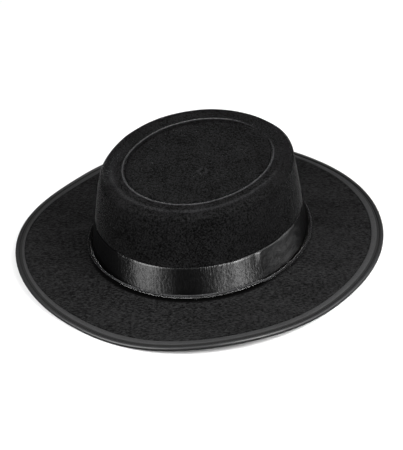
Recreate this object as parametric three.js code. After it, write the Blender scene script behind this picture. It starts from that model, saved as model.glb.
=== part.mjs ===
import * as THREE from 'three';

// A low flat-topped felt hat that rests on its brim: pressed crown, brim, ribbon band and bound edge.
// +Z is up, the front looks along -Y and the wearer's left is +X. The floor is z = 0.
// All lengths are in millimetres and all angles in degrees.

// Head opening, the inside of the crown at its foot
const headLength = 200;
const headWidth = 176;

// Crown
const crownFelt = 2;
const crownHeight = 80.9;
const crownDrawSide = 9.4;
const crownDrawEnd = 7.1;
const crownLean = 1.4;
const crownSquareness = 2.05;
const shoulderRadius = 5.5;
const rimWidth = 13;
const weltWidth = 3;
const weltHeight = 0.9;
const panelDepth = 2.4;
const lipReach = 4.7;
const lipFelt = 2;

// Brim, measured from the head opening to the edge of its felt
const brimFelt = 1.4;
const brimReachSide = 64.3;
const brimReachEnd = 65.6;
const brimSquareness = 2.19;
const brimRise = 6.2;
const seatMargin = 1.5;
const edgeWave = 6.4;

// Ribbon band round the foot of the crown
const bandWidth = 29.2;
const bandRibbon = 1;
const bandLap = 24;
const bandSeamBearing = 349;
const bandRamp = 6;

// Tape folded over the brim's edge, with a corded bead outside it
const tapeCloth = 1;
const tapeReach = 5;
const beadDiameter = 4.4;
const grooveWidth = 0.5;

// Gap between one piece and the next
const clearance = 0.3;

// Fineness of the faces
const turnSteps = 72;
const shoulderSteps = 5;

// The crown's wall from its foot to the shoulder. up is a share of the wall's height, and side and end
// are shares of crownDrawSide and crownDrawEnd, by which the wall has drawn in.
const wallSections = [
  { name: 'foot', up: 0, side: 0, end: 0 },
  { name: 'low', up: 0.19, side: 0.14, end: 0.08 },
  { name: 'waist', up: 0.39, side: 0.3, end: 0.2 },
  { name: 'middle', up: 0.6, side: 0.5, end: 0.42 },
  { name: 'upper', up: 0.8, side: 0.73, end: 0.69 },
  { name: 'shoulder', up: 1, side: 1, end: 1 },
];

// The brim from the crown's seat to its edge. out is a share of that way, drop a share of brimRise
// and lift a share of the edge's wave.
const brimSections = [
  { name: 'seat', out: 0, drop: 0, lift: 0 },
  { name: 'inner', out: 0.32, drop: 0.3, lift: 0.1 },
  { name: 'outer', out: 0.68, drop: 0.68, lift: 0.5 },
  { name: 'edge', out: 1, drop: 1, lift: 1 },
];

// Where the edge stands clear of the floor. height is a share of edgeWave. Between these the edge rests.
const edgeLobes = [
  { name: 'left_front', bearing: 320, spread: 42, height: 1 },
  { name: 'right_front', bearing: 227, spread: 51, height: 0.91 },
  { name: 'back', bearing: 77, spread: 46, height: 0.39 },
];

// Sizes that follow from the ones above
const beadRadius = beadDiameter / 2;
const brimEdgeUnderside = beadRadius - brimFelt / 2;
const brimSeatTop = brimEdgeUnderside + brimRise + brimFelt;
const crownFoot = brimSeatTop + clearance;
const lipTop = crownFoot + lipFelt;
const rimTop = crownFoot + crownHeight;
const wallTop = rimTop - shoulderRadius;
const panelTop = rimTop - panelDepth;
const bandFoot = lipTop + clearance;
const seatReach = crownFelt + lipReach + seatMargin;
const bandReach = Math.sqrt((headWidth / 2 + crownFelt) * (headLength / 2 + crownFelt));
const innerShoulder = Math.max(shoulderRadius - crownFelt, 0);

const feltBlack = new THREE.MeshStandardMaterial({ color: 0x17171a, roughness: 0.95, metalness: 0 });
const brimBlack = new THREE.MeshStandardMaterial({ color: 0x1b1b1e, roughness: 0.95, metalness: 0 });
const satinBlack = new THREE.MeshStandardMaterial({ color: 0x0c0c0e, roughness: 0.3, metalness: 0 });
const tapeBlack = new THREE.MeshStandardMaterial({ color: 0x242427, roughness: 0.75, metalness: 0 });

const radians = THREE.MathUtils.degToRad;

// A point of an oval with the given half sizes. Squareness 2 is an ellipse, and more is fuller.
function ovalPoint(halfWidth, halfLength, squareness, turn) {
  const c = Math.cos(turn);
  const s = Math.sin(turn);
  const fullness = (Math.abs(c) ** squareness + Math.abs(s) ** squareness) ** (-1 / squareness);
  return new THREE.Vector2(halfWidth * c * fullness, halfLength * s * fullness);
}

// The value of one column of a table at a place along another column
function readTable(rows, alongColumn, along, valueColumn) {
  const last = rows.length - 1;
  const next = rows.findIndex((row, i) => i > 0 && (along <= row[alongColumn] || i === last));
  const from = rows[next - 1];
  const to = rows[next];
  const share = (along - from[alongColumn]) / (to[alongColumn] - from[alongColumn]);
  return THREE.MathUtils.lerp(from[valueColumn], to[valueColumn], share);
}

// How far the outside of the crown's wall has drawn in at a height
function wallDraw(z) {
  const up = THREE.MathUtils.clamp((z - lipTop) / (wallTop - lipTop), 0, 1);
  return {
    side: crownDrawSide * readTable(wallSections, 'up', up, 'side'),
    end: crownDrawEnd * readTable(wallSections, 'up', up, 'end'),
  };
}

// A point of the crown, a number of millimetres outside its wall (or inside it, where negative)
function crownPoint(outside, z, turn) {
  const draw = wallDraw(z);
  const halfWidth = headWidth / 2 + crownFelt - draw.side + outside;
  const halfLength = headLength / 2 + crownFelt - draw.end + outside;
  const plan = ovalPoint(halfWidth, halfLength, crownSquareness, turn);
  const lean = crownLean * ((z - crownFoot) / crownHeight);
  return new THREE.Vector3(plan.x, plan.y - lean, z);
}

// Height of the brim's edge above its resting height at one turn
function edgeLift(turn) {
  const plan = ovalPoint(headWidth / 2 + brimReachSide, headLength / 2 + brimReachEnd, brimSquareness, turn);
  const bearing = THREE.MathUtils.radToDeg(Math.atan2(plan.y, plan.x));
  let lift = 0;
  for (const lobe of edgeLobes) {
    const away = Math.abs(THREE.MathUtils.euclideanModulo(bearing - lobe.bearing + 180, 360) - 180);
    const share = Math.min(away / lobe.spread, 1);
    lift += edgeWave * lobe.height * Math.cos((share * Math.PI) / 2) ** 2;
  }
  return lift;
}

// The straight way over the brim at one turn, from the head opening to the edge of the felt
function brimWay(turn) {
  const start = ovalPoint(headWidth / 2, headLength / 2, crownSquareness, turn);
  const halfWidth = headWidth / 2 + brimReachSide;
  const halfLength = headLength / 2 + brimReachEnd;
  const end = ovalPoint(halfWidth, halfLength, brimSquareness, turn);
  const reach = start.distanceTo(end);
  return { start, reach, outward: end.clone().sub(start).normalize(), lift: edgeLift(turn) };
}

// A point over the brim: millimetres out from the head opening, and up from the felt's underside
function brimPoint(way, out, up) {
  const share = THREE.MathUtils.clamp((out - seatReach) / (way.reach - seatReach), 0, 1);
  const drop = brimRise * readTable(brimSections, 'out', share, 'drop');
  const lift = way.lift * readTable(brimSections, 'out', share, 'lift');
  const plan = way.start.clone().addScaledVector(way.outward, out);
  return new THREE.Vector3(plan.x, plan.y, brimEdgeUnderside + brimRise - drop + lift + up);
}

// Makes a mesh from points and triangles
function meshOf(name, points, triangles, material) {
  const geometry = new THREE.BufferGeometry();
  geometry.setAttribute('position', new THREE.Float32BufferAttribute(points.flatMap((p) => p.toArray()), 3));
  geometry.setIndex(triangles);
  geometry.computeVertexNormals();
  const mesh = new THREE.Mesh(geometry, material);
  mesh.name = name;
  return mesh;
}

// Two triangles for each cell between section a and section b, whose points run in the same order
function joinSections(a, b, count, closed, triangles) {
  const cells = closed ? count : count - 1;
  for (let i = 0; i < cells; i += 1) {
    const j = (i + 1) % count;
    triangles.push(a + i, b + i, b + j, a + i, b + j, a + j);
  }
}

const turns = Array.from({ length: turnSteps }, (_, i) => (i / turnSteps) * 2 * Math.PI);

// The crown's section: from the middle of the panel out, down the wall, and back up inside the felt
function crownSection() {
  const shoulder = -shoulderRadius;
  const weltOutside = shoulder - rimWidth;
  const weltMiddle = weltOutside - weltWidth / 2;
  const panelEdge = weltOutside - weltWidth;
  const innerPanelEdge = panelEdge + crownFelt;
  const outline = [
    { outside: panelEdge, z: panelTop },
    { outside: panelEdge + weltWidth / 6, z: rimTop + weltHeight / 2 },
    { outside: weltMiddle, z: rimTop + weltHeight },
    { outside: weltOutside - weltWidth / 6, z: rimTop + weltHeight / 2 },
    { outside: weltOutside, z: rimTop },
  ];
  for (let i = 0; i <= shoulderSteps; i += 1) {
    const angle = (Math.PI / 2) * (1 - i / shoulderSteps);
    const outside = shoulder + shoulderRadius * Math.cos(angle);
    outline.push({ outside, z: wallTop + shoulderRadius * Math.sin(angle) });
  }
  const wallHeights = wallSections.map((row) => lipTop + row.up * (wallTop - lipTop)).reverse();
  for (const z of wallHeights.slice(1)) {
    outline.push({ outside: 0, z });
  }
  outline.push({ outside: lipReach, z: lipTop });
  outline.push({ outside: lipReach, z: crownFoot });
  outline.push({ outside: -crownFelt, z: crownFoot });
  for (const z of [...wallHeights].reverse().slice(1)) {
    outline.push({ outside: -crownFelt, z });
  }
  const innerSteps = shoulderSteps - 2;
  for (let i = 1; i <= innerSteps; i += 1) {
    const angle = (Math.PI / 2) * (i / innerSteps);
    const outside = shoulder + innerShoulder * Math.cos(angle);
    outline.push({ outside, z: wallTop + (shoulderRadius - crownFelt) * Math.sin(angle) });
  }
  outline.push({ outside: innerPanelEdge, z: rimTop - crownFelt });
  outline.push({ outside: innerPanelEdge, z: panelTop - crownFelt });
  return outline;
}

function makeCrown() {
  const outline = crownSection();
  const count = outline.length;
  const points = [];
  const triangles = [];
  for (const turn of turns) {
    points.push(...outline.map(({ outside, z }) => crownPoint(outside, z, turn)));
  }
  const top = points.length;
  const lean = (z) => -crownLean * ((z - crownFoot) / crownHeight);
  points.push(new THREE.Vector3(0, lean(panelTop), panelTop));
  points.push(new THREE.Vector3(0, lean(panelTop - crownFelt), panelTop - crownFelt));
  for (let i = 0; i < turnSteps; i += 1) {
    const a = i * count;
    const b = ((i + 1) % turnSteps) * count;
    joinSections(b, a, count, false, triangles);
    triangles.push(top, a, b);
    triangles.push(top + 1, b + count - 1, a + count - 1);
  }
  return meshOf('crown', points, triangles, feltBlack);
}

// A ring whose section, a closed outline, is worked out at each turn
function makeRing(name, sectionAt, material) {
  const sections = turns.map(sectionAt);
  const count = sections[0].length;
  const triangles = [];
  for (let i = 0; i < turnSteps; i += 1) {
    joinSections(((i + 1) % turnSteps) * count, i * count, count, true, triangles);
  }
  return meshOf(name, sections.flat(), triangles, material);
}

function makeBrim() {
  return makeRing('brim', (turn) => {
    const way = brimWay(turn);
    const slope = brimSections.map((row) => seatReach + row.out * (way.reach - seatReach));
    const outs = [0, ...slope];
    const top = outs.map((out) => brimPoint(way, out, brimFelt));
    const under = outs.map((out) => brimPoint(way, out, 0)).reverse();
    return [...top, ...under];
  }, brimBlack);
}

function makeBinding() {
  const slotUp = brimFelt / 2 + clearance;
  const legUp = slotUp + tapeCloth;
  const beadMiddle = clearance + beadRadius;
  const flat = beadRadius * Math.tan(radians(22.5));
  const grooveUp = Math.max(legUp - grooveWidth, slotUp);
  const upperHalf = [
    { out: -tapeReach, up: slotUp },
    { out: -tapeReach, up: legUp },
    { out: clearance, up: legUp },
    { out: clearance + grooveWidth, up: grooveUp },
    { out: beadMiddle - flat, up: beadRadius },
    { out: beadMiddle + flat, up: beadRadius },
    { out: beadMiddle + beadRadius, up: flat },
  ];
  const lowerHalf = upperHalf.map(({ out, up }) => ({ out, up: -up })).reverse();
  const outline = [{ out: clearance, up: slotUp }, ...upperHalf, ...lowerHalf, { out: clearance, up: -slotUp }];
  return makeRing('brim_binding', (turn) => {
    const way = brimWay(turn);
    return outline.map(({ out, up }) => brimPoint(way, way.reach + out, brimFelt / 2 + up));
  }, tapeBlack);
}

// The band is one strip. Its outer end laps over its inner end at the seam.
function makeBand() {
  const full = 2 * Math.PI;
  const lapTurn = bandLap / bandReach;
  const rampTurn = bandRamp / bandReach;
  const endTurn = radians(bandSeamBearing) + full;
  const startTurn = endTurn - full - lapTurn;
  const rampStart = startTurn + full - rampTurn;
  const rampEnd = startTurn + full - rampTurn / 4;
  const fixed = [startTurn, rampStart, rampEnd, endTurn];
  const nearest = full / turnSteps / 4;
  const stations = [...fixed];
  for (const turn of [...turns, ...turns.map((t) => t + full)]) {
    const inside = turn > startTurn && turn < endTurn;
    if (inside && fixed.every((place) => Math.abs(place - turn) > nearest)) {
      stations.push(turn);
    }
  }
  stations.sort((a, b) => a - b);
  const wallHeights = wallSections.map((row) => lipTop + row.up * (wallTop - lipTop));
  const between = wallHeights.filter((z) => z > bandFoot && z < bandFoot + bandWidth);
  const heights = [bandFoot, ...between, bandFoot + bandWidth];
  const count = heights.length * 2;
  const points = [];
  const triangles = [];
  for (const turn of stations) {
    const onLap = THREE.MathUtils.clamp((turn - rampStart) / (rampEnd - rampStart), 0, 1);
    const inner = clearance + onLap * (bandRibbon + clearance);
    points.push(...heights.map((z) => crownPoint(inner + bandRibbon, z, turn)).reverse());
    points.push(...heights.map((z) => crownPoint(inner, z, turn)));
  }
  for (let i = 0; i < stations.length - 1; i += 1) {
    joinSections((i + 1) * count, i * count, count, true, triangles);
  }
  const last = (stations.length - 1) * count;
  for (let i = 0; i < heights.length - 1; i += 1) {
    const j = count - 1 - i;
    triangles.push(i + 1, i, j, i + 1, j, j - 1);
    triangles.push(last + i, last + i + 1, last + j - 1, last + i, last + j - 1, last + j);
  }
  return meshOf('band', points, triangles, satinBlack);
}

const hat = new THREE.Group();
hat.add(makeCrown(), makeBrim(), makeBand(), makeBinding());

export default hat;
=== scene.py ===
import bpy
import math
from mathutils import Matrix, Vector, noise


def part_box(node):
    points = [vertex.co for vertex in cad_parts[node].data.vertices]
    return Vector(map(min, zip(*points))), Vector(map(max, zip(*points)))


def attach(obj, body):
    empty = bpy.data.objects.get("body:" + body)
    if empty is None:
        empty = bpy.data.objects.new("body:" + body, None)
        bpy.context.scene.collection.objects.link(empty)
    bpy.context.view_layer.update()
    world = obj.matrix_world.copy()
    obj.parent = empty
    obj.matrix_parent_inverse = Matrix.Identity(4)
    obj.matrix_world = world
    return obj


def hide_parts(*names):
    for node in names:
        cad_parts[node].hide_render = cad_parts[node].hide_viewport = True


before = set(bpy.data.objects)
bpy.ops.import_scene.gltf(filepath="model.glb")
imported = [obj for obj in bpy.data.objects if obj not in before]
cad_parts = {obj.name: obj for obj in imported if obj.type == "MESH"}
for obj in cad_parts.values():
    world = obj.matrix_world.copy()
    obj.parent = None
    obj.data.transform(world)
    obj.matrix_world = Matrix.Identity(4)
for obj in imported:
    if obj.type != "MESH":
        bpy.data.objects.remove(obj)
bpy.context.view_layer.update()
mm = 0.001

# where the hat's parts are, read from the frame
crownLow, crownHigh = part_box("crown")
brimLow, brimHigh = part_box("brim")
bandLow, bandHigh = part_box("band")


def meanHalf(corner):  # halfway between the half width and the half length
    return (corner.x + corner.y) / 2


def longerBy(corner):  # half length less mean half
    return (corner.y - corner.x) / 2


def ramp(value, start, end):  # 0 before start, 1 after end, smooth between
    share = min(max((value - start) / (end - start), 0), 1)
    return share * share * (3 - 2 * share)


def spanFrom(start, ends):  # both ends of a span, each given from a common start
    return start + ends[0], start + ends[1]


def apart(bearing, other):  # degrees between two bearings
    return abs((bearing - other + 180) % 360 - 180)


def directionOf(azimuth, elevation):  # from the hat, azimuth 0 looks along +Y
    azimuth, elevation = math.radians(azimuth), math.radians(elevation)
    level = math.cos(elevation)
    return Vector((math.sin(azimuth) * level, -math.cos(azimuth) * level, math.sin(elevation)))


# the camera looks at a point near the middle of the hat
cameraView = dict(
    azimuth=40.19,
    elevation=34.46,
    roll=0.87,
    distance=2.5,
    lens=221.4,
    aim=(6.7 * mm, -6.1 * mm, 26.4 * mm),
)


def addCamera(view):
    back = directionOf(view["azimuth"], view["elevation"])
    camera = bpy.data.objects.new("camera", bpy.data.cameras.new("camera"))
    bpy.context.collection.objects.link(camera)
    camera.data.lens = view["lens"]
    camera.location = Vector(view["aim"]) + back * view["distance"]
    look = (-back).to_track_quat("-Z", "Y").to_matrix()
    camera.rotation_euler = (look @ Matrix.Rotation(math.radians(-view["roll"]), 3, "Z")).to_euler()
    bpy.context.scene.camera = camera


addCamera(cameraView)

# the hat is modelled round, and toOval then draws it to the shape of a head
hatShape = dict(
    crownFullness=2.05,  # 2 is a plain ellipse, more is squarer
    brimFullness=2.19,
    lean=1.4 * mm,  # how far the top of the crown stands forward of its foot
    topLonger=7.2 * mm,
    drift=(-0.8 * mm, -1 * mm, 0),  # the shoulder sits a little off the middle of the ring
    wave=6.4 * mm,  # how high the brim's edge lifts
    waveGrows=1.9,
    lobes=((320, 42, 1.0), (227, 51, 0.91), (77, 46, 0.39)),  # bearing, spread, share of the wave
    dentSize=34 * mm,  # the felt is never quite even
    dentLayer=3,
    dentPatch=(5, 2, 0),
    wallDents=0.45 * mm,
    wallDentsRound=3,
    wallDentsUp=2.2,
    wallFrom=(0, 0.2),  # share of the height over which the wall's dents set in
    topDents=0.35 * mm,
    topFrom=(0.85, 0.95),
    brimDents=0.4 * mm,
    brimFrom=(0, 0.25),  # share of the brim over which its dents set in, and fade out
    brimTo=(0.7, 0.95),
)
lipRadius = meanHalf(crownHigh)
feltEdge = meanHalf(brimHigh)


def edgeLift(turn, radius):
    halfWide, halfLong = radius - longerBy(brimHigh), radius + longerBy(brimHigh)
    bearing = math.degrees(math.atan2(halfLong * math.sin(turn), halfWide * math.cos(turn)))
    lift = 0
    for middle, spread, share in hatShape["lobes"]:
        away = apart(bearing, middle)
        if away < spread:
            lift += hatShape["wave"] * share * math.cos(away / spread * math.pi / 2) ** 2
    return lift


def toOval(point):
    s = hatShape
    ring, rim = crownShape["ring"], crownShape["rim"]
    radius, turn = math.hypot(point.x, point.y), math.atan2(point.y, point.x)
    up = min(max((point.z - crownLow.z) / (crownHigh.z - crownLow.z), 0), 1)
    out = min(max((radius - lipRadius) / (feltEdge - lipRadius), 0), 1)
    longer = longerBy(crownHigh) + (s["topLonger"] - longerBy(crownHigh)) * up
    longer += (longerBy(brimHigh) - longerBy(crownHigh)) * out
    longer *= min(radius / ring, 1)
    fullness = s["crownFullness"] + (s["brimFullness"] - s["crownFullness"]) * out
    across, along = math.cos(turn), math.sin(turn)
    full = (abs(across) ** fullness + abs(along) ** fullness) ** (-1 / fullness)
    lengthwise = (radius + longer) * along * full - s["lean"] * up
    place = Vector(((radius - longer) * across * full, lengthwise, point.z))
    onWall = ramp(radius, ring, ring + rim) * ramp(up, *s["wallFrom"])
    onCrown = 1 - ramp(out, 0, 0.01)
    turns = s["wallDentsRound"]
    bulge = noise.noise(Vector((across * turns, along * turns, up * s["wallDentsUp"])))
    place += Vector((across, along, 0)) * bulge * s["wallDents"] * onWall * onCrown
    place += Vector(s["drift"]) * onWall * up
    spot = Vector((place.x, place.y, s["dentLayer"])) / s["dentSize"]
    swell = noise.noise(spot + Vector(s["dentPatch"]))
    place.z += swell * s["topDents"] * ramp(up, *s["topFrom"])
    place.z += swell * s["brimDents"] * ramp(out, *s["brimFrom"]) * (1 - ramp(out, *s["brimTo"]))
    place.z += edgeLift(turn, radius) * out ** s["waveGrows"]
    return place


def pullToOval(piece):
    for vertex in piece.data.vertices:
        vertex.co = toOval(vertex.co)


def bearingOf(point):
    return math.degrees(math.atan2(point.y, point.x)) % 360


# a value at each point, from its radius, height and bearing before toOval
def markPoints(piece, name, valueOf):
    marks = piece.data.attributes.new(name, "FLOAT", "POINT")
    for vertex, mark in zip(piece.data.vertices, marks.data):
        mark.value = valueOf(math.hypot(vertex.co.x, vertex.co.y), vertex.co.z, bearingOf(vertex.co))


def hump(value, middle, width):  # 1 at the middle, fading out on both sides
    return math.exp(-(((value - middle) / width) ** 2))


def startRing(name, radius, height, corners):
    if bpy.context.mode != "OBJECT":
        bpy.ops.object.mode_set(mode="OBJECT")
    bpy.ops.object.select_all(action="DESELECT")
    bpy.ops.mesh.primitive_circle_add(
        vertices=corners, radius=radius, fill_type="NOTHING", location=(0, 0, height)
    )
    piece = bpy.context.active_object
    piece.name = piece.data.name = name
    bpy.ops.object.transform_apply(location=True, rotation=True, scale=True)
    bpy.ops.object.mode_set(mode="EDIT")
    bpy.ops.mesh.select_mode(type="EDGE")
    bpy.ops.mesh.select_all(action="SELECT")
    return piece


def growRows(rows):  # extrudes the ring from row to row, each a radius and a height
    for (radius, height), (nextRadius, nextHeight) in zip(rows, rows[1:]):
        bpy.ops.mesh.extrude_edges_indiv()
        grow = nextRadius / radius
        bpy.ops.transform.resize(value=(grow, grow, 1), center_override=(0, 0, height))
        bpy.ops.transform.translate(value=(0, 0, nextHeight - height))


def closeUp():  # merges doubles and turns the faces outward, upward on an open sheet
    bpy.ops.mesh.select_all(action="SELECT")
    bpy.ops.mesh.remove_doubles(threshold=0.01 * mm)
    bpy.ops.mesh.normals_make_consistent(inside=False)
    bpy.ops.object.mode_set(mode="OBJECT")
    piece = bpy.context.active_object
    highest = max(piece.data.polygons, key=lambda face: face.center.z)
    if highest.normal.z < 0:
        piece.data.flip_normals()


def applyModifier(piece, kind, **settings):
    modifier = piece.modifiers.new(kind, kind)
    for key, value in settings.items():
        setattr(modifier, key, value)
    bpy.context.view_layer.objects.active = piece
    bpy.ops.object.modifier_apply(modifier=modifier.name)


def thicken(piece, felt):  # a wall of felt, inward from the outside surface
    applyModifier(piece, "SOLIDIFY", thickness=felt, offset=-1, use_even_offset=True)
    applyModifier(piece, "SUBSURF", levels=1, render_levels=1)


def finishPiece(piece, node, material):
    bpy.ops.object.select_all(action="DESELECT")
    piece.select_set(True)
    bpy.context.view_layer.objects.active = piece
    bpy.ops.object.shade_smooth()
    piece.data.materials.clear()
    piece.data.materials.append(material)
    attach(piece, "root")
    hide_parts(node)
    triangles = sum(len(face.vertices) - 2 for face in piece.data.polygons)
    print(piece.name, "done,", triangles, "triangles")


def addNode(tree, kind, place, **settings):
    node = tree.nodes.new(kind)
    node.location = place
    for key, value in settings.items():
        setattr(node, key, value)
    return node


def mixValues(tree, place, share, first, second):
    mixed = addNode(tree, "ShaderNodeMix", place, data_type="FLOAT")
    mixed.inputs[0].default_value = share
    tree.links.new(first, mixed.inputs[2])
    tree.links.new(second, mixed.inputs[3])
    return mixed.outputs[0]


def mathNode(tree, place, operation, first, second, clamp=False):
    made = addNode(tree, "ShaderNodeMath", place, operation=operation, use_clamp=clamp)
    for socket, value in zip(made.inputs, (first, second)):
        if isinstance(value, (int, float)):
            socket.default_value = value
        else:
            tree.links.new(value, socket)
    return made.outputs[0]


def newGroup(name, inputs, outputs):
    group = bpy.data.node_groups.new(name, "ShaderNodeTree")
    for label in inputs:
        kind = "NodeSocketVector" if label == "Vector" else "NodeSocketFloat"
        group.interface.new_socket(name=label, in_out="INPUT", socket_type=kind)
    for label in outputs:
        group.interface.new_socket(name=label, in_out="OUTPUT", socket_type="NodeSocketFloat")
    start = addNode(group, "NodeGroupInput", (-1100, 0))
    end = addNode(group, "NodeGroupOutput", (700, 0))
    return group, start, end


def noiseOf(group, start, place, label, detail, roughness, distortion=0):
    texture = addNode(group, "ShaderNodeTexNoise", place)
    group.links.new(start.outputs["Vector"], texture.inputs["Vector"])
    group.links.new(start.outputs[label], texture.inputs["Scale"])
    texture.inputs["Detail"].default_value = detail
    texture.inputs["Roughness"].default_value = roughness
    texture.inputs["Distortion"].default_value = distortion
    return texture.outputs[0]


# shares of clumps and clouds in the nap, and the tones between which the crown's painted highlight and
# the bead's even tone show
napMix = dict(clumps=0.65, clouds=0.12, coverFrom=0.3, coverTo=0.56)


def makeFeltNap():  # matted fibres: fine fibres, clumps of them and broad clouds
    inputs = ("Vector", "Fibre Scale", "Clump Scale", "Cloud Scale")
    group, start, end = newGroup("feltNap", inputs, ("Tone", "Height"))
    fibres = noiseOf(group, start, (-700, 300), "Fibre Scale", 2, 0.6, 0.8)
    clumps = noiseOf(group, start, (-700, 0), "Clump Scale", 3, 0.6, 0.4)
    clouds = noiseOf(group, start, (-700, -300), "Cloud Scale", 2, 0.5)
    matted = mixValues(group, (-300, 200), napMix["clumps"], fibres, clumps)
    clouded = mixValues(group, (0, 100), napMix["clouds"], matted, clouds)
    group.links.new(clouded, end.inputs["Tone"])
    group.links.new(matted, end.inputs["Height"])
    return group


# one attribute covers the nap with another colour where its tone is high: a painted highlight on the
# crown's edges, and the bead's own even tone on the binding; the other darkens it with painted shade
def makePaintedLightShadeAndBead():
    group, start, end = newGroup("paintedLightShadeAndBead", ("Tone", "Strength"), ("PaintedHighlightAndBead", "PaintedShade"))
    paintedHighlightAndBead = addNode(group, "ShaderNodeAttribute", (-800, -200), attribute_name="paintedHighlightAndBead")
    paintedShade = addNode(group, "ShaderNodeAttribute", (-800, -450), attribute_name="paintedShade")
    specks = addNode(group, "ShaderNodeMapRange", (-800, 100))
    specks.inputs["From Min"].default_value = napMix["coverFrom"]
    specks.inputs["From Max"].default_value = napMix["coverTo"]
    group.links.new(start.outputs["Tone"], specks.inputs["Value"])
    broken = mathNode(group, (-500, 0), "MULTIPLY", specks.outputs[0], paintedHighlightAndBead.outputs["Fac"])
    covered = mathNode(group, (-200, 0), "MULTIPLY", broken, start.outputs["Strength"], clamp=True)
    shaded = mathNode(group, (-200, -300), "MULTIPLY", paintedShade.outputs["Fac"], 1.0, clamp=True)
    group.links.new(covered, end.inputs["PaintedHighlightAndBead"])
    group.links.new(shaded, end.inputs["PaintedShade"])
    return group


feltNap = makeFeltNap()
paintedLightShadeAndBead = makePaintedLightShadeAndBead()


def newMaterial(name):
    material = bpy.data.materials.new(name)
    material.use_nodes = True
    return material, material.node_tree, material.node_tree.nodes["Principled BSDF"]


def groupNode(tree, place, group, **values):
    node = addNode(tree, "ShaderNodeGroup", place, node_tree=group)
    for label, value in values.items():
        node.inputs[label].default_value = value
    return node


def makeFelt(name, look):
    material, tree, shader = newMaterial(name)
    coords = addNode(tree, "ShaderNodeTexCoord", (-1600, 0))
    grain = addNode(tree, "ShaderNodeMapping", (-1400, 0), vector_type="TEXTURE")
    grain.inputs["Rotation"].default_value[2] = math.radians(look["grainTurn"])
    grain.inputs["Scale"].default_value = look["grainStretch"]
    tree.links.new(coords.outputs["Object"], grain.inputs["Vector"])
    scales = {"Fibre Scale": look["fibres"], "Clump Scale": look["clumps"], "Cloud Scale": look["clouds"]}
    nap = groupNode(tree, (-1150, 0), feltNap, **scales)
    tree.links.new(grain.outputs[0], nap.inputs["Vector"])
    tones = addNode(tree, "ShaderNodeValToRGB", (-800, 250))
    tones.color_ramp.elements[0].position = look["darkFrom"]
    tones.color_ramp.elements[1].position = look["lightFrom"]
    tones.color_ramp.elements[0].color = (*look["dark"], 1)
    tones.color_ramp.elements[1].color = (*look["light"], 1)
    tree.links.new(nap.outputs["Tone"], tones.inputs["Fac"])
    lightShadeAndBead = groupNode(tree, (-800, -100), paintedLightShadeAndBead, Strength=look["paintedHighlightAndBead"])
    tree.links.new(nap.outputs["Tone"], lightShadeAndBead.inputs["Tone"])
    last = tones.outputs["Color"]
    # the first cover paints highlights on the crown's edges and gives the bead its own tone; the second
    # paints shade
    highlightAndBeadColour, paintedShadeColour = look["highlightAndBeadColour"], look["paintedShadeColour"]
    covers = (((-550, 150), "PaintedHighlightAndBead", highlightAndBeadColour), ((-300, 150), "PaintedShade", paintedShadeColour))
    for place, mask, shade in covers:
        colour = addNode(tree, "ShaderNodeMix", place, data_type="RGBA")
        colour.inputs[7].default_value = (*shade, 1)
        tree.links.new(lightShadeAndBead.outputs[mask], colour.inputs[0])
        tree.links.new(last, colour.inputs[6])
        last = colour.outputs[2]
    tree.links.new(last, shader.inputs["Base Color"])
    bump = addNode(tree, "ShaderNodeBump", (-450, -300))
    bump.inputs["Strength"].default_value = look["bump"]
    bump.inputs["Distance"].default_value = look["bumpDepth"]
    tree.links.new(nap.outputs["Height"], bump.inputs["Height"])
    tree.links.new(bump.outputs[0], shader.inputs["Normal"])
    rough = addNode(tree, "ShaderNodeMix", (-450, -80), data_type="FLOAT")
    rough.inputs[2].default_value, rough.inputs[3].default_value = look["roughness"]
    tree.links.new(lightShadeAndBead.outputs["PaintedHighlightAndBead"], rough.inputs[0])
    dull = mathNode(tree, (-250, -80), "MAXIMUM", rough.outputs[0], lightShadeAndBead.outputs["PaintedShade"])
    tree.links.new(dull, shader.inputs["Roughness"])
    shader.inputs["Specular IOR Level"].default_value = look["gloss"]
    shader.inputs["Sheen Weight"].default_value = look["sheen"]
    shader.inputs["Sheen Roughness"].default_value = look["sheenRoughness"]
    return material


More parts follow.
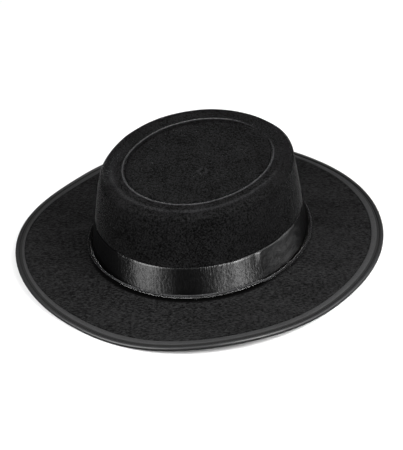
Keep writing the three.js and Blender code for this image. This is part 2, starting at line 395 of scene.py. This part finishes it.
# crown, one felt shell from the sunk panel down to the lip that stands on the brim
crownShape = dict(
    corners=144,
    panelSpan=36,
    felt=2 * mm,
    weltHeight=0.9 * mm,
    weltWidth=3 * mm,
    rim=13 * mm,
    rimRows=(0.45, 0.72, 0.92),  # shares of the way from the ring to the shoulder
    shoulder=5.5 * mm,
    shoulderTurns=(90, 75, 60, 45, 30, 12),  # degrees above level, from the rim to the wall
    panelDepth=2.4 * mm,
    panelEdge=(-4.6, -3.4),  # mm from the ring
    welt=(  # mm out from the ring and up from the rim
        (-2.3, -2.3), (-1.6, -2.0), (-1.25, -1.1), (-1.1, 0), (-0.7, 0.7),
        (0, 0.9), (0.8, 0.55), (1.5, 0.1), (2.6, 0),
    ),
    draw=8.25 * mm,  # how far the wall leans in
    evenDraw=0.55,  # the share of it that is even all the way up
    rowStep=4 * mm,
    lipReach=4.7 * mm,
    lip=(  # mm out from the wall's foot and up from the lip's underside
        (0, 3.2), (0.05, 1.8), (0.4, 0.7), (1.2, 0.1), (2.2, 0.2), (3.2, 0.8), (4.0, 1.6), (4.7, 2.4),
    ),
    lipLift=2.7 * mm,  # the lip stands off the brim in front
    lipLiftFrom=(215, 250),
    lipLiftTo=(340, 351),
    lipBend=0.6 * mm,  # the lift begins this far out from the foot
    lipFlat=0.5 * mm,  # and is whole this far in from the edge
    ringFade=(76, 29),  # bearing and spread of the stretch where the ring is nearly flat
    fadeRun=(-16 * mm, -1.2 * mm),  # the panel rises to the rim there, from the ring
    panelUnder=2.6 * mm,  # what lies this deep inside the ring is the felt's underside
    rimUnder=1 * mm,  # and this deep outside it
    topWaves=(  # bearing, spread, mm that the shoulder rises
        (140, 55, 1.0),
        (214, 33, -3.7),
        (300, 60, -1.3),
        (35, 50, -0.5),
    ),
    waveOut=(2 * mm, 17 * mm),  # where the waves set in, out from the ring and up to the shoulder
    waveUp=(-14 * mm, 0),
    dimple=(10.9 * mm, -9.1 * mm),
    dimpleSize=2 * mm,
    dimpleDepth=1.1 * mm,
    # strength of the painted highlight round the dimple's rim
    dimpleHighlight=0.3,
)
crownShape["top"] = crownHigh.z - crownShape["weltHeight"]
crownShape["foot"] = lipRadius - crownShape["lipReach"]
crownShape["lipTop"] = crownLow.z + crownShape["felt"]
crownShape["wallTop"] = crownShape["top"] - crownShape["shoulder"]
crownShape["ring"] = (
    crownShape["foot"] - crownShape["draw"] - crownShape["shoulder"]
    - crownShape["rim"] - crownShape["weltWidth"] / 2
)
crownLook = dict(
    grainTurn=0,
    grainStretch=(1, 1, 1),
    fibres=1400,
    clumps=700,
    clouds=45,
    darkFrom=0.45,
    lightFrom=0.56,
    dark=(0.0002, 0.0002, 0.0002),
    light=(0.0114, 0.0114, 0.0117),
    # strength and colour of the painted highlight, and colour of the painted shade
    paintedHighlightAndBead=1.2,
    highlightAndBeadColour=(0.052, 0.052, 0.054),
    paintedShadeColour=(0.0008, 0.0008, 0.0008),
    bump=0.85,
    bumpDepth=0.6 * mm,
    roughness=(0.95, 0.8),  # of the nap, and of an edge under the painted highlight
    gloss=0.06,
    sheen=0.75,
    sheenRoughness=0.16,
)

# where the crown gets painted highlights and painted shade
crownLightAndShade = dict(
    topZone=3 * mm,  # what lies this near the top belongs to the panel and its rim
    welt=(0.1 * mm, 0.6 * mm),  # how far out from the ring, and how wide
    fold=(9 * mm, 1.6 * mm),
    foldStrength=0.28,
    foldFront=300,
    foldFades=(60, 100),
    inRing=(-1.7 * mm, 0.8 * mm),
    inRingStrength=0.6,
    lipStrength=0.7,
    lipFrom=(235, 270),  # bearings
    lipTo=(350, 360),
    sideStrength=0.25,
    side=20,
    sideFades=(25, 50),
    lipEdge=(-1.6 * mm, -0.3 * mm),  # from the edge of the lip
    lipAbove=(0.6 * mm, 1.6 * mm),
    gutter=(-0.5 * mm, 0.6 * mm),  # from the foot of the wall
    gutterStrength=0.9,
    onLip=(-2.4 * mm, -1.5 * mm),
    overLip=(0.4 * mm, 1 * mm),
)


def wallRadius(height):  # outside of the crown's wall
    s = crownShape
    up = min(max((height - s["lipTop"]) / (s["wallTop"] - s["lipTop"]), 0), 1)
    return s["foot"] - s["draw"] * (s["evenDraw"] * up + (1 - s["evenDraw"]) * up * up)


def crownRows():
    s = crownShape
    panel = s["top"] - s["panelDepth"]
    rows = [(s["ring"] + out * mm, panel) for out in s["panelEdge"]]
    rows += [(s["ring"] + out * mm, s["top"] + up * mm) for out, up in s["welt"]]
    shoulderMiddle = s["ring"] + s["weltWidth"] / 2 + s["rim"]
    rows += [(s["ring"] + (shoulderMiddle - s["ring"]) * share, s["top"]) for share in s["rimRows"]]
    for degrees in s["shoulderTurns"]:
        angle = math.radians(degrees)
        out, up = s["shoulder"] * math.cos(angle), s["shoulder"] * math.sin(angle)
        rows.append((shoulderMiddle + out, s["wallTop"] + up))
    height = s["wallTop"] - s["rowStep"] / 2
    while height > s["lipTop"] + s["rowStep"]:
        rows.append((wallRadius(height), height))
        height -= s["rowStep"]
    rows += [(s["foot"] + out * mm, s["lipTop"] + up * mm) for out, up in s["lip"]]
    return rows


def ringLeft(bearing):  # the share of the ring that is left at a bearing
    middle, spread = crownShape["ringFade"]
    return 1 - hump(apart(bearing, middle), 0, spread)


# painted highlights on the welt, along the shoulder's fold and on the lip's edge, where light catches
# them
def crownPaintedHighlight(radius, height, bearing):
    s, w = crownShape, crownLightAndShade
    if height > s["top"] - w["topZone"]:
        (weltOut, weltSpread), (foldOut, foldSpread) = w["welt"], w["fold"]
        welt = hump(radius, s["ring"] + weltOut, weltSpread) * ringLeft(bearing)
        front = 1 - ramp(apart(bearing, w["foldFront"]), *w["foldFades"])
        fold = w["foldStrength"] * hump(radius, s["ring"] + foldOut, foldSpread) * front
        return max(welt, fold)
    front = w["lipStrength"] * ramp(bearing, *w["lipFrom"]) * (1 - ramp(bearing, *w["lipTo"]))
    front += w["sideStrength"] * (1 - ramp(apart(bearing, w["side"]), *w["sideFades"]))
    edge = ramp(radius, *spanFrom(lipRadius, w["lipEdge"]))
    return front * edge * ramp(height, *spanFrom(s["lipTop"], w["lipAbove"]))


# painted shade inside the ring, in the gutter behind the lip and under it
def crownPaintedShade(radius, height, bearing):
    s, w = crownShape, crownLightAndShade
    if height > s["top"] - w["topZone"]:
        out, spread = w["inRing"]
        return w["inRingStrength"] * hump(radius, s["ring"] + out, spread) * ringLeft(bearing)
    behind = ramp(radius, *spanFrom(s["foot"], w["gutter"]))
    onLip = ramp(radius, *spanFrom(lipRadius, w["onLip"]))
    over = ramp(height, *spanFrom(s["lipTop"], w["overLip"]))
    return behind * max(w["gutterStrength"] * (1 - onLip), 1 - over)


def bendLip(vertex, radius, bearing):  # off the brim in front
    s = crownShape
    front = ramp(bearing, *s["lipLiftFrom"]) * (1 - ramp(bearing, *s["lipLiftTo"]))
    onLip = ramp(radius, s["foot"] + s["lipBend"], lipRadius - s["lipFlat"])
    vertex.co.z += s["lipLift"] * front * onLip


def levelRing(vertex, radius, gone):  # draws ring and panel to the height of the rim
    s = crownShape
    underRim = radius > s["ring"] and vertex.co.z < s["top"] - s["rimUnder"]
    under = vertex.co.z < s["top"] - s["panelUnder"] or underRim
    room = s["top"] - (s["felt"] if under else 0) - vertex.co.z
    if room > 0:
        level = s["panelDepth"] * ramp(radius, *spanFrom(s["ring"], s["fadeRun"]))
        vertex.co.z += min(level, room) * gone
    elif radius < s["ring"] + s["weltWidth"]:
        vertex.co.z += room * gone


# presses the dimple, and paints shade in its middle and a highlight round its rim
def pressDimple(piece):
    s = crownShape
    size = s["dimpleSize"]
    paintedHighlights = piece.data.attributes["paintedHighlightAndBead"].data
    paintedShades = piece.data.attributes["paintedShade"].data
    for vertex in piece.data.vertices:
        away = math.hypot(vertex.co.x - s["dimple"][0], vertex.co.y - s["dimple"][1])
        if vertex.co.z > s["wallTop"] and away < 3 * size:
            vertex.co.z -= s["dimpleDepth"] * hump(away, 0, size)
            paintedShades[vertex.index].value = hump(away, 0, 0.9 * size)
            paintedHighlights[vertex.index].value = s["dimpleHighlight"] * hump(away, 1.9 * size, 0.4 * size)


def makeCrown():
    s = crownShape
    rows = crownRows()
    piece = startRing("feltCrown", rows[0][0], rows[0][1], s["corners"])
    bpy.ops.mesh.fill_grid(span=s["panelSpan"])
    bpy.ops.mesh.select_all(action="DESELECT")
    bpy.ops.mesh.select_non_manifold()
    growRows(rows)
    closeUp()
    thicken(piece, s["felt"])
    markPoints(piece, "paintedHighlightAndBead", crownPaintedHighlight)
    markPoints(piece, "paintedShade", crownPaintedShade)
    for vertex in piece.data.vertices:
        radius, bearing = math.hypot(vertex.co.x, vertex.co.y), bearingOf(vertex.co)
        bendLip(vertex, radius, bearing)
        onShoulder = ramp(radius, *spanFrom(s["ring"], s["waveOut"]))
        onShoulder *= ramp(vertex.co.z, *spanFrom(s["wallTop"], s["waveUp"]))
        levelRing(vertex, radius, 1 - ringLeft(bearing))
        for middle, spread, rise in s["topWaves"]:
            away = min(apart(bearing, middle) / spread, 1)
            vertex.co.z += rise * mm * math.cos(away * math.pi / 2) ** 2 * onShoulder
    pullToOval(piece)
    pressDimple(piece)
    return piece


finishPiece(makeCrown(), "crown", makeFelt("crownFelt", crownLook))

# brim, an oval of thin felt with a level seat under the crown
brimShape = dict(
    corners=180,
    rows=22,
    felt=1.4 * mm,
    opening=94 * mm,
    seat=102.2 * mm,
    # the painted shadow under the lip: its share all round and in front, the bearings where the front
    # share sets in and fades, and how far out from the lip it fades
    shadeAllRound=0.35,
    shadeInFront=0.65,
    shadeFrom=(215, 250),  # bearings
    shadeTo=(344, 353),
    shadeFades=(0.3 * mm, 2.4 * mm),  # out from the lip
)
brimLook = dict(
    crownLook,
    grainTurn=41,
    grainStretch=(3.0, 1, 1),
    clumps=1000,
    fibres=1800,
    dark=(0.0012, 0.0012, 0.0012),
    light=(0.0185, 0.0185, 0.0188),
    paintedHighlightAndBead=0,
    sheen=0.08,
    darkFrom=0.44,
    lightFrom=0.57,
)


def brimTop(radius):
    out = min(max((radius - brimShape["seat"]) / (feltEdge - brimShape["seat"]), 0), 1)
    return brimHigh.z + (brimLow.z + brimShape["felt"] - brimHigh.z) * out


def brimPaintedShade(radius, height, bearing):  # painted shadow in the gap under the lip, faint all round and darker in front
    s = brimShape
    inFront = s["shadeInFront"] * ramp(bearing, *s["shadeFrom"]) * (1 - ramp(bearing, *s["shadeTo"]))
    fades = ramp(radius, *spanFrom(lipRadius, s["shadeFades"]))
    return (s["shadeAllRound"] + inFront) * (1 - fades)


def makeBrim():
    s = brimShape
    step = (feltEdge - s["opening"]) / s["rows"]
    radii = [s["opening"] + step * i for i in range(s["rows"] + 1)]
    rows = [(radius, brimTop(radius)) for radius in radii]
    piece = startRing("feltBrim", rows[0][0], rows[0][1], s["corners"])
    growRows(rows)
    closeUp()
    thicken(piece, s["felt"])
    markPoints(piece, "paintedShade", brimPaintedShade)
    pullToOval(piece)
    return piece


finishPiece(makeBrim(), "brim", makeFelt("brimFelt", brimLook))

# binding, tape folded over the felt's edge with a cord in its fold
tapeShape = dict(
    corners=180,
    inner=-6 * mm,  # where the tape ends, from the felt's edge
    narrow=((222, 60, 2.6), (120, 60, 1.8)),  # bearing, spread, mm that the tape is narrower
    narrowTo=-1.8 * mm,  # from the felt's edge
    half=1.45 * mm,  # the tape's outside from the middle of the felt
    slot=0.8 * mm,  # its inside
    slotEnd=0.05 * mm,
    groove=((-1.1, 0.95), (0, 0.85), (0.45, 0.4), (0.75, 0.1)),  # mm out and up
    bead=1.9 * mm,
    beadOut=2.7 * mm,
    beadDown=0.3 * mm,
    beadShine=(0.8 * mm, 1.3 * mm),  # where the bead and the groove begin and end
    grooveFrom=(-1.7 * mm, -1.2 * mm),
    grooveTo=(1.2 * mm, 1.7 * mm),
    pucker=0.09 * mm,
    puckers=130,
    puckerFrom=(-5 * mm, -3 * mm),
    puckerTo=(0, 1 * mm),
    cutWidth=24 * mm,  # of the tape before it is folded
)
tapeLook = dict(
    crownLook,
    fibres=2600,
    clumps=1100,
    dark=(0.012, 0.012, 0.0124),
    light=(0.024, 0.024, 0.0246),
    # strength and colour of the bead's own even tone, and colour of the painted shade in the groove
    paintedHighlightAndBead=1.5,
    highlightAndBeadColour=(0.019, 0.019, 0.0195),
    paintedShadeColour=(0.001, 0.001, 0.001),
    bump=0.3,
    roughness=(0.7, 0.34),
    gloss=0.55,
    sheen=0.06,
)


def tapeSection():  # out and up from the middle of the felt's edge, once round
    s = tapeShape
    inner, half, slot, slotEnd = s["inner"], s["half"], s["slot"], s["slotEnd"]
    over = [(inner + 0.25 * mm, slot), (inner, half * 0.8), (inner + 0.3 * mm, half * 0.97)]
    over += [(inner * share, half * 1.05) for share in (0.75, 0.45)]
    over.append((-1.5 * mm, half))
    over += [(out * mm, up * mm) for out, up in s["groove"]]
    bead = []
    for degrees in range(160, -161, -20):
        angle = math.radians(degrees)
        out, up = s["bead"] * math.cos(angle), s["bead"] * math.sin(angle)
        bead.append((s["beadOut"] + out, up - s["beadDown"]))
    under = [(out, -up) for out, up in reversed(over[:-1])]
    inside = [(inner * 0.6, -slot), (slotEnd, -slot), (slotEnd, slot), (inner * 0.6, slot)]
    return over + bead + under + inside + over[:1]


def tapeRub(radius, height, bearing):  # the bead is smooth and shiny
    return ramp(radius, *spanFrom(feltEdge, tapeShape["beadShine"]))


def tapePaintedShade(radius, height, bearing):  # painted shade in the groove beside it
    out = radius - feltEdge
    return ramp(out, *tapeShape["grooveFrom"]) * (1 - ramp(out, *tapeShape["grooveTo"]))


def makeBinding():
    s = tapeShape
    rows = []
    for out, up in tapeSection():
        radius = feltEdge + out
        rows.append((radius, brimTop(radius) - brimShape["felt"] / 2 + up))
    piece = startRing("edgeBinding", rows[0][0], rows[0][1], s["corners"])
    growRows(rows)
    closeUp()
    applyModifier(piece, "SUBSURF", levels=1, render_levels=1)
    markPoints(piece, "paintedHighlightAndBead", tapeRub)
    markPoints(piece, "paintedShade", tapePaintedShade)
    for vertex in piece.data.vertices:
        turn = math.atan2(vertex.co.y, vertex.co.x)
        radius = math.hypot(vertex.co.x, vertex.co.y)
        onTape = ramp(radius, *spanFrom(feltEdge, s["puckerFrom"]))
        onTape *= 1 - ramp(radius, *spanFrom(feltEdge, s["puckerTo"]))
        nearInner = 1 - ramp(radius, feltEdge + s["inner"], feltEdge + s["narrowTo"])
        for bearing, spread, less in s["narrow"]:
            away = min(apart(bearingOf(vertex.co), bearing) / spread, 1)
            near = math.cos(away * math.pi / 2) ** 2
            inward = 1 + less * mm * near * nearInner / radius
            vertex.co.x *= inward
            vertex.co.y *= inward
        middle = brimTop(radius) - brimShape["felt"] / 2
        side = 1 if vertex.co.z > middle else -1
        if abs(vertex.co.z - middle) > s["slot"] * 1.1:
            gathers = noise.noise(Vector((turn * s["puckers"] / 6, 0, 4))) * s["pucker"] * 2
            vertex.co.z += side * gathers * onTape
    pullToOval(piece)
    return piece


finishPiece(makeBinding(), "brim_binding", makeFelt("bindingTape", tapeLook))

# band, a satin ribbon laid round the crown's foot, its ends lapped at the wearer's left
bandShape = dict(
    columns=1400,
    rows=16,
    ribbon=0.45 * mm,
    standOff=0.78 * mm,  # middle of the ribbon from the crown's wall
    seam=349,
    lap=24 * mm,
    lapGap=0.25 * mm,
    endStep=13 * mm,  # length over which the ribbon climbs on to its own start
    endLift=0.9 * mm,  # the lapped end's upper corner stands off
    endLiftLength=7 * mm,
    endLiftFrom=0.45,  # share of the width
    ripple=0.1 * mm,
    rippleLength=9 * mm,
    puckers=((266, 5), (317, 5), (60, 9), (150, 8), (214, 6)),  # bearing and spread of tight spots
    pucker=0.09 * mm,
    puckerStep=2.1 * mm,
    puckerSlant=3 * mm,
    puckerWobble=5 * mm,
    puckerFrom=0.6,
    creep=(8, 16, 0.38 * mm),  # bearing, spread and height of the long wrinkles beside the seam
    creepFolds=2.6,
    creepLength=25 * mm,
)
satinLook = dict(
    dark=(0.0004, 0.0004, 0.0005),
    light=(0.0016, 0.0016, 0.0018),
    toneSpan=(0.35, 0.65),  # the weave's tones that give the two roughnesses
    roughness=(0.3, 0.46),
    anisotropic=1.0,
    floatTurn=0.25,  # quarter turn, so that the shine runs across the ribbon
    gloss=1.0,
    wefts=700,
    ribs=520,
    mottle=430,
    bump=0.9,
    bumpDepth=0.42 * mm,
)


def turnOutward(piece):  # an open sheet's faces all look away from the crown
    face = piece.data.polygons[0]
    if face.normal.dot(Vector((face.center.x, face.center.y, 0))) < 0:
        piece.data.flip_normals()


def bandRipple(run, turn, up):  # the satin is never quite flat, and pulls into small folds
    s = bandShape
    ripple = s["ripple"] * noise.noise(Vector((run / s["rippleLength"], up * 0.8, 7)))
    for bearing, spread in s["puckers"]:
        near = hump(apart(math.degrees(turn), bearing), 0, spread)
        wobble = 2 * noise.noise(Vector((run / s["puckerWobble"], 0, 1)))
        fold = math.sin(2 * math.pi * (run + s["puckerSlant"] * up) / s["puckerStep"] + wobble)
        ripple += s["pucker"] * near * fold * ramp(up, s["puckerFrom"], 1)
    middle, spread, rise = s["creep"]
    near = hump(apart(math.degrees(turn), middle), 0, spread)
    slow = noise.noise(Vector((run / s["creepLength"], 3, 0)))
    ripple += rise * near * math.sin(2 * math.pi * (s["creepFolds"] * up + slow))
    return ripple


def makeBand():
    s = bandShape
    width = bandHigh.z - bandLow.z
    reach = crownShape["foot"]
    endTurn = math.radians(s["seam"])
    length = 2 * math.pi * reach + s["lap"]
    startTurn = endTurn - length / reach
    bpy.ops.object.select_all(action="DESELECT")
    bpy.ops.mesh.primitive_grid_add(
        x_subdivisions=s["columns"], y_subdivisions=s["rows"], size=1, calc_uvs=True
    )
    piece = bpy.context.active_object
    piece.name = piece.data.name = "satinBand"
    for vertex in piece.data.vertices:
        along, up = vertex.co.x + 0.5, vertex.co.y + 0.5
        turn = startTurn + (endTurn - startTurn) * along
        run = along * length
        fromEnd = length - run
        onLap = ramp(run, length - s["lap"] - s["endStep"], length - s["lap"])
        lift = s["endLift"] * (1 - ramp(fromEnd, 0, s["endLiftLength"])) * ramp(up, s["endLiftFrom"], 1)
        height = bandLow.z + width * up
        radius = wallRadius(height) + s["standOff"] + onLap * (s["ribbon"] + s["lapGap"])
        radius += lift
        radius += bandRipple(run, turn, up)
        vertex.co = toOval(Vector((radius * math.cos(turn), radius * math.sin(turn), height)))
    turnOutward(piece)
    applyModifier(piece, "SOLIDIFY", thickness=s["ribbon"], offset=0)
    return piece


def makeSatinWeave():  # long floats along the ribbon, fine ribs across it and a mottle over both
    scales = ("Weft Scale", "Rib Scale", "Mottle Scale")
    stretches = ((0.08, 1, 1), (1, 0.05, 1), (1, 0.6, 1))
    group, start, end = newGroup("satinWeave", ("Vector",) + scales, ("Tone", "Height"))
    layers = []
    for label, stretch, level in zip(scales, stretches, (250, -150, -550)):
        squeeze = addNode(group, "ShaderNodeMapping", (-850, level))
        squeeze.inputs["Scale"].default_value = stretch
        group.links.new(start.outputs["Vector"], squeeze.inputs["Vector"])
        texture = addNode(group, "ShaderNodeTexNoise", (-550, level))
        texture.inputs["Detail"].default_value = 3
        group.links.new(squeeze.outputs[0], texture.inputs["Vector"])
        group.links.new(start.outputs[label], texture.inputs["Scale"])
        layers.append(texture.outputs[0])
    wefts, ribs, mottle = layers
    group.links.new(mixValues(group, (150, -300), 0.65, ribs, mottle), end.inputs["Tone"])
    threads = mixValues(group, (-150, 0), 0.7, wefts, ribs)
    group.links.new(mixValues(group, (150, 0), 0.7, threads, mottle), end.inputs["Height"])
    return group


def makeSatin(look):
    material, tree, shader = newMaterial("blackSatin")
    coords = addNode(tree, "ShaderNodeTexCoord", (-1600, 0))
    size = addNode(tree, "ShaderNodeMapping", (-1400, 0))
    length = 2 * math.pi * crownShape["foot"] + bandShape["lap"]
    size.inputs["Scale"].default_value = (length, bandHigh.z - bandLow.z, 1)
    tree.links.new(coords.outputs["UV"], size.inputs["Vector"])
    scales = {"Weft Scale": look["wefts"], "Rib Scale": look["ribs"], "Mottle Scale": look["mottle"]}
    weave = groupNode(tree, (-1150, 0), makeSatinWeave(), **scales)
    tree.links.new(size.outputs[0], weave.inputs["Vector"])
    tones = addNode(tree, "ShaderNodeValToRGB", (-800, 250))
    tones.color_ramp.elements[0].color = (*look["dark"], 1)
    tones.color_ramp.elements[1].color = (*look["light"], 1)
    tree.links.new(weave.outputs["Tone"], tones.inputs["Fac"])
    tree.links.new(tones.outputs["Color"], shader.inputs["Base Color"])
    rough = addNode(tree, "ShaderNodeMapRange", (-800, -50))
    rough.inputs["From Min"].default_value, rough.inputs["From Max"].default_value = look["toneSpan"]
    rough.inputs["To Min"].default_value, rough.inputs["To Max"].default_value = look["roughness"]
    tree.links.new(weave.outputs["Tone"], rough.inputs["Value"])
    tree.links.new(rough.outputs[0], shader.inputs["Roughness"])
    bump = addNode(tree, "ShaderNodeBump", (-450, -300))
    bump.inputs["Strength"].default_value = look["bump"]
    bump.inputs["Distance"].default_value = look["bumpDepth"]
    tree.links.new(weave.outputs["Height"], bump.inputs["Height"])
    tree.links.new(bump.outputs[0], shader.inputs["Normal"])
    tangent = addNode(tree, "ShaderNodeTangent", (-450, -550), direction_type="UV_MAP")
    tree.links.new(tangent.outputs[0], shader.inputs["Tangent"])
    shader.inputs["Anisotropic"].default_value = look["anisotropic"]
    shader.inputs["Anisotropic Rotation"].default_value = look["floatTurn"]
    shader.inputs["Specular IOR Level"].default_value = look["gloss"]
    return material


finishPiece(makeBand(), "band", makeSatin(satinLook))

# studio: a pale floor, two upright soft boxes in front, and one low and one broad one behind
studio = dict(
    floor=30,
    floorColour=(0.97, 0.97, 0.97),  # as the camera sees it
    bounceColour=(0.02, 0.02, 0.02),  # and as the hat does
    floorRoughness=0.9,
    world=0.015,
    boxes=(  # azimuth, elevation, distance, width, height, radiance
        (-10, 38, 1.2, 0.56, 1.0, 10.2),
        (91, 38, 1.2, 0.42, 1.0, 13.5),
        (140, 32, 1.2, 0.6, 0.8, 2.6),
        (140, 70, 1.6, 1.4, 1.4, 1.4),
    ),
)


def addStudio():
    bpy.ops.object.select_all(action="DESELECT")
    bpy.ops.mesh.primitive_plane_add(size=studio["floor"])
    floor = bpy.context.active_object
    floor.name = "floor"
    material, tree, shader = newMaterial("paleFloor")
    shader.inputs["Roughness"].default_value = studio["floorRoughness"]
    rays = addNode(tree, "ShaderNodeLightPath", (-700, 0))
    seen = addNode(tree, "ShaderNodeMix", (-350, 0), data_type="RGBA")
    seen.inputs[6].default_value = (*studio["bounceColour"], 1)
    seen.inputs[7].default_value = (*studio["floorColour"], 1)
    tree.links.new(rays.outputs["Is Camera Ray"], seen.inputs[0])
    tree.links.new(seen.outputs[2], shader.inputs["Base Color"])
    floor.data.materials.append(material)
    for azimuth, elevation, distance, width, height, radiance in studio["boxes"]:
        away = directionOf(azimuth, elevation)
        light = bpy.data.lights.new("softBox", "AREA")
        light.shape = "RECTANGLE"
        light.size, light.size_y = width, height
        light.energy = radiance * math.pi * width * height
        box = bpy.data.objects.new("softBox", light)
        bpy.context.collection.objects.link(box)
        box.location = away * distance
        box.rotation_euler = (-away).to_track_quat("-Z", "Y").to_euler()
    world = bpy.data.worlds.new("world")
    bpy.context.scene.world = world
    world.use_nodes = True
    world.node_tree.nodes["Background"].inputs["Color"].default_value = (1, 1, 1, 1)
    world.node_tree.nodes["Background"].inputs["Strength"].default_value = studio["world"]
    bpy.context.scene.view_settings.view_transform = "Standard"


addStudio()
print("studio done")
